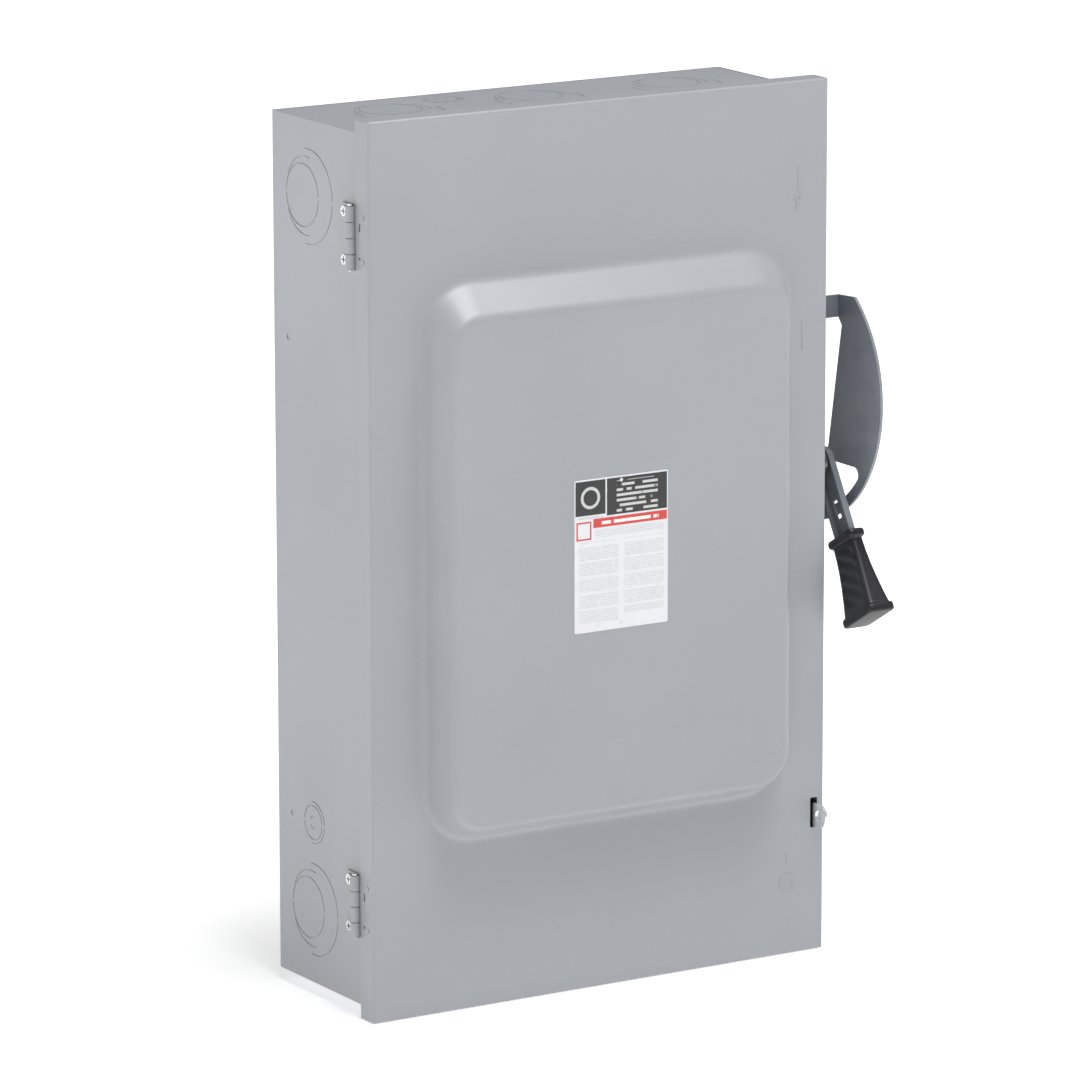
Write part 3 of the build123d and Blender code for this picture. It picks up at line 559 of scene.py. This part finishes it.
panel_foot = ((4.5, 4.5), 335.5, 442.0, 43.0)
panel_crown = ((4.2, -1.8), 310.3, 404.8, 27.0)
bend_reach, hold = 5.2, 0.7
crown_y = face_y - panel_rise
foot_ring, crown_ring = panel_ring(*panel_foot, 0, face_y), panel_ring(*panel_crown, 0, crown_y)
slope_length = np.linalg.norm(crown_ring - foot_ring, axis=1)[:, None]
foot_share = np.minimum(bend_reach / slope_length, 0.40)
up_slope = foot_ring + foot_share * (crown_ring - foot_ring)
down_slope = crown_ring + foot_share * (foot_ring - crown_ring)
turns = np.linspace(0, pi / 2, 6)
flange = [outline_ring(0, cover_high[1]), outline_ring(0, face_y + fold + hold)]
flange += [outline_ring(fold * (1 - cos(turn)), face_y + fold * (1 - sin(turn))) for turn in turns]
flange += [outline_ring(fold + hold, face_y), panel_ring(*panel_foot, bend_reach + hold, face_y)]
cover_rings = np.concatenate([
    flange,
    bend_rings(panel_ring(*panel_foot, bend_reach, face_y), foot_ring, up_slope),
    bend_rings(down_slope, crown_ring, panel_ring(*panel_crown, -bend_reach, crown_y)),
    [panel_ring(*panel_crown, -bend_reach - hold, crown_y)],
])
pressed_cover = ring_piece("pressed_cover", cover_rings, closed=[-1])

# %% Sheet thickness and the padlock slot
thickness = pressed_cover.modifiers.new("sheet", "SOLIDIFY")
thickness.thickness, thickness.offset, thickness.use_even_offset = sheet * MM, -1.0, True
hinge_heights, flange_slots = (264.0, -264.5), ((9.0, 3.2), (-15.0, 1.1))
slot_loop = rounded_loop((200.6, -240.5), 6.8, 25.0, 1.2, steps=4)
sides = [np.insert(slot_loop, 1, face_y + y, axis=1) for y in (4, -4)]
cutters = [ring_piece("slot_cutter", np.stack(sides), [0, 1])]
for height in hinge_heights:
    for middle, half in flange_slots:
        loop = rounded_loop((-141.5, height + middle), 2.2, 2 * half, 0.9, steps=4)
        sides = [np.insert(loop, 0, cover_low[0] + x, axis=1) for x in (-3, 3)]
        cutters.append(ring_piece("flange_cutter", np.stack(sides), [0, 1]))
for number, cutter in enumerate(cutters):
    cut = pressed_cover.modifiers.new("slot_%d" % number, "BOOLEAN")
    cut.operation, cut.solver, cut.object = "DIFFERENCE", "EXACT", cutter
bake_modifiers(pressed_cover)
for cutter in cutters:
    bpy.data.objects.remove(cutter)
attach(pressed_cover, "cover")
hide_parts("cover")

# %% [markdown]
# ## Raised signs
#
# Beside the handle the cover carries signs, coined up from the sheet: a bar with an arrow for on, a ring
# for off, and two short ticks. Each stroke is a low dome: half an ellipse across, swept along a line or
# a circle, and drawn in at the ends of an open stroke.

# %% Strokes coined in the sheet
def raised_stroke(name, line, width, rise, closed=False):
    """Dome over a stroke. Across the stroke its height is the rise times the cosine of an angle that
    goes from -90 to 90 degrees, while its shift from the line is the half width times that angle's
    sine. An open stroke's half width and rise shrink to nothing over its last few points.
    """
    line = np.array(line, float)
    ahead = np.roll(line, -1, 0) - np.roll(line, 1, 0) if closed else np.gradient(line, axis=0)
    ahead /= np.linalg.norm(ahead, axis=1)[:, None]
    aside = np.stack([-ahead[:, 1], ahead[:, 0]], axis=1)
    along = np.linspace(-1, 1, len(line))
    size = np.ones(len(line)) if closed else np.sqrt(np.clip(1 - np.abs(along) ** 12, 0, 1)) + 0.02
    tilt = np.linspace(-pi / 2, pi / 2, 9)
    shift = (0.5 * width * size)[:, None] * np.sin(tilt)[None, :]
    flat = line[:, None, :] + shift[:, :, None] * aside[:, None, :]
    y = face_y + 0.15 - (rise + 0.15) * size[:, None] * np.cos(tilt)[None, :]
    grid = np.stack([flat[..., 0], y, flat[..., 1]], axis=-1)
    rings = np.swapaxes(grid, 0, 1)
    count, points = rings.shape[:2]
    last = points if closed else points - 1
    row, place = np.meshgrid(np.arange(count - 1), np.arange(last), indexing="ij")
    here, after = row * points + place, row * points + (place + 1) % points
    quads = np.stack([here, here + points, after + points, after], axis=-1).reshape(-1, 4)
    mesh = bpy.data.meshes.new(name)
    mesh.from_pydata(rings.reshape(-1, 3) * MM, [], quads.tolist())
    mesh.shade_smooth()
    piece = bpy.data.objects.new(name, mesh)
    bpy.context.scene.collection.objects.link(piece)
    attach(piece, "cover")
    return piece


def straight(start, end, count=25):
    """Points on a line, closer together at its ends, where the stroke is rounded."""
    share = 0.5 - 0.5 * np.cos(np.linspace(0, pi, count))[:, None]
    return np.array(start) * (1 - share) + np.array(end) * share


circle = np.linspace(0, 2 * pi, 48, endpoint=False)
off_ring = np.array([175.0, -295.0]) + 6.5 * np.stack([np.cos(circle), np.sin(circle)], axis=1)
signs = [
    raised_stroke("on_bar", straight((183, 270), (183, 288)), 3.6, 0.8),
    raised_stroke("on_arrow_shaft", straight((181, 252), (181, 266)), 2.0, 0.55),
    raised_stroke("on_arrow_left", straight((177.4, 261.5), (181, 266.4)), 2.0, 0.55),
    raised_stroke("on_arrow_right", straight((184.6, 261.5), (181, 266.4)), 2.0, 0.55),
    raised_stroke("middle_tick", straight((187, 140), (187, 163)), 2.4, 0.5),
    raised_stroke("off_ring", off_ring, 3.2, 0.8, closed=True),
    raised_stroke("off_arrow_shaft", straight((175, -280), (175, -270)), 2.0, 0.55),
]
print("signs:", len(signs))

# %% [markdown]
# ## The moulded grip
#
# A black grip is moulded over the lever's end. It flares towards the hand's heel, has a raised rim at
# each end, is hollowed along its edges and has shallow, slanting finger grooves on its two faces. It is
# a profile of widths and thicknesses carried down the lever, as rounded rectangles.

# %% Grip
pivot = np.array(joints["handle_pivot"]["pos_m"]) / MM
lever_drop = radians(60.0)
down_lever = np.array([0.0, -cos(lever_drop), -sin(lever_drop)])
to_wall = np.array([0.0, sin(lever_drop), -cos(lever_drop)])
grip_middle_x = 234.8

near_rim = [(63.0, 33.5, 12.0), (63.4, 35.8, 14.4), (64.4, 37.2, 15.7), (65.6, 37.5, 16.0), (67.6, 37.5, 16.0)]
near_rim += [(68.8, 37.0, 15.5), (69.6, 35.2, 13.8), (70.2, 33.2, 12.2), (71.2, 32.0, 11.5)]
far_rim = [(126.4, 41.8, 21.0), (127.2, 42.6, 21.8), (127.8, 44.0, 23.2), (128.6, 45.6, 24.6), (129.8, 46.0, 25.0)]
far_rim += [(132.6, 46.0, 25.0), (134.0, 45.4, 24.4), (134.7, 44.0, 23.0), (135.0, 41.4, 20.4)]
body_share = np.linspace(0.03, 0.97, 44)
hollow = np.sin(pi * body_share)
body_distance = 71.2 + body_share * (126.4 - 71.2)
body_width = 32.0 + 9.8 * body_share - 1.6 * hollow
body_depth = 11.5 + 9.5 * body_share ** 1.2 - 0.8 * hollow
stations = np.concatenate([near_rim, np.stack([body_distance, body_width, body_depth], axis=1), far_rim])


def grip_ring(distance, width, depth):
    """Section of the grip: a rounded rectangle with slanting grooves in its two faces.

    A groove is half a cosine wave that runs down the grip and slants with the place across it. It
    fades out towards the edges of the face and towards both rims.
    """
    loop = rounded_loop((0.0, 0.0), width, depth, min(4.2, 0.33 * depth), steps=8)
    side = np.linspace(0, 1, 12)[1:-1]
    quarter = len(loop) // 4
    spans = [loop[n * quarter:(n + 1) * quarter] for n in range(4)]
    filled = []
    for n, span in enumerate(spans):
        following = spans[(n + 1) % 4][0]
        filled += [span, span[-1] * (1 - side[:, None]) + following * side[:, None]]
    loop = np.concatenate(filled)
    across_grip, out = loop[:, 0], loop[:, 1]
    fade = np.clip(1 - np.abs(across_grip / (0.46 * width)) ** 4, 0, 1)
    fade = fade * np.clip((distance - 73) / 5, 0, 1) * np.clip((125 - distance) / 5, 0, 1)
    groove = 0.5 - 0.5 * np.cos(2 * pi * (distance + 0.45 * across_grip) / 11.5)
    out = out - np.sign(out) * 1.3 * groove * fade * (np.abs(out) > 0.3 * depth)
    place = pivot + distance * down_lever + across_grip[:, None] * to_wall
    place[:, 0] = grip_middle_x + out
    return place


grip = ring_piece("moulded_grip", np.stack([grip_ring(*station) for station in stations]), closed=[0, -1])
grip.data.set_sharp_from_angle(angle=radians(50))
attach(grip, "handle")
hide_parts("handle_grip")

# %% Dress the new pieces
dress(box_enamel, "pressed_cover", *(sign.name for sign in signs))
dress(grip_black, "moulded_grip")
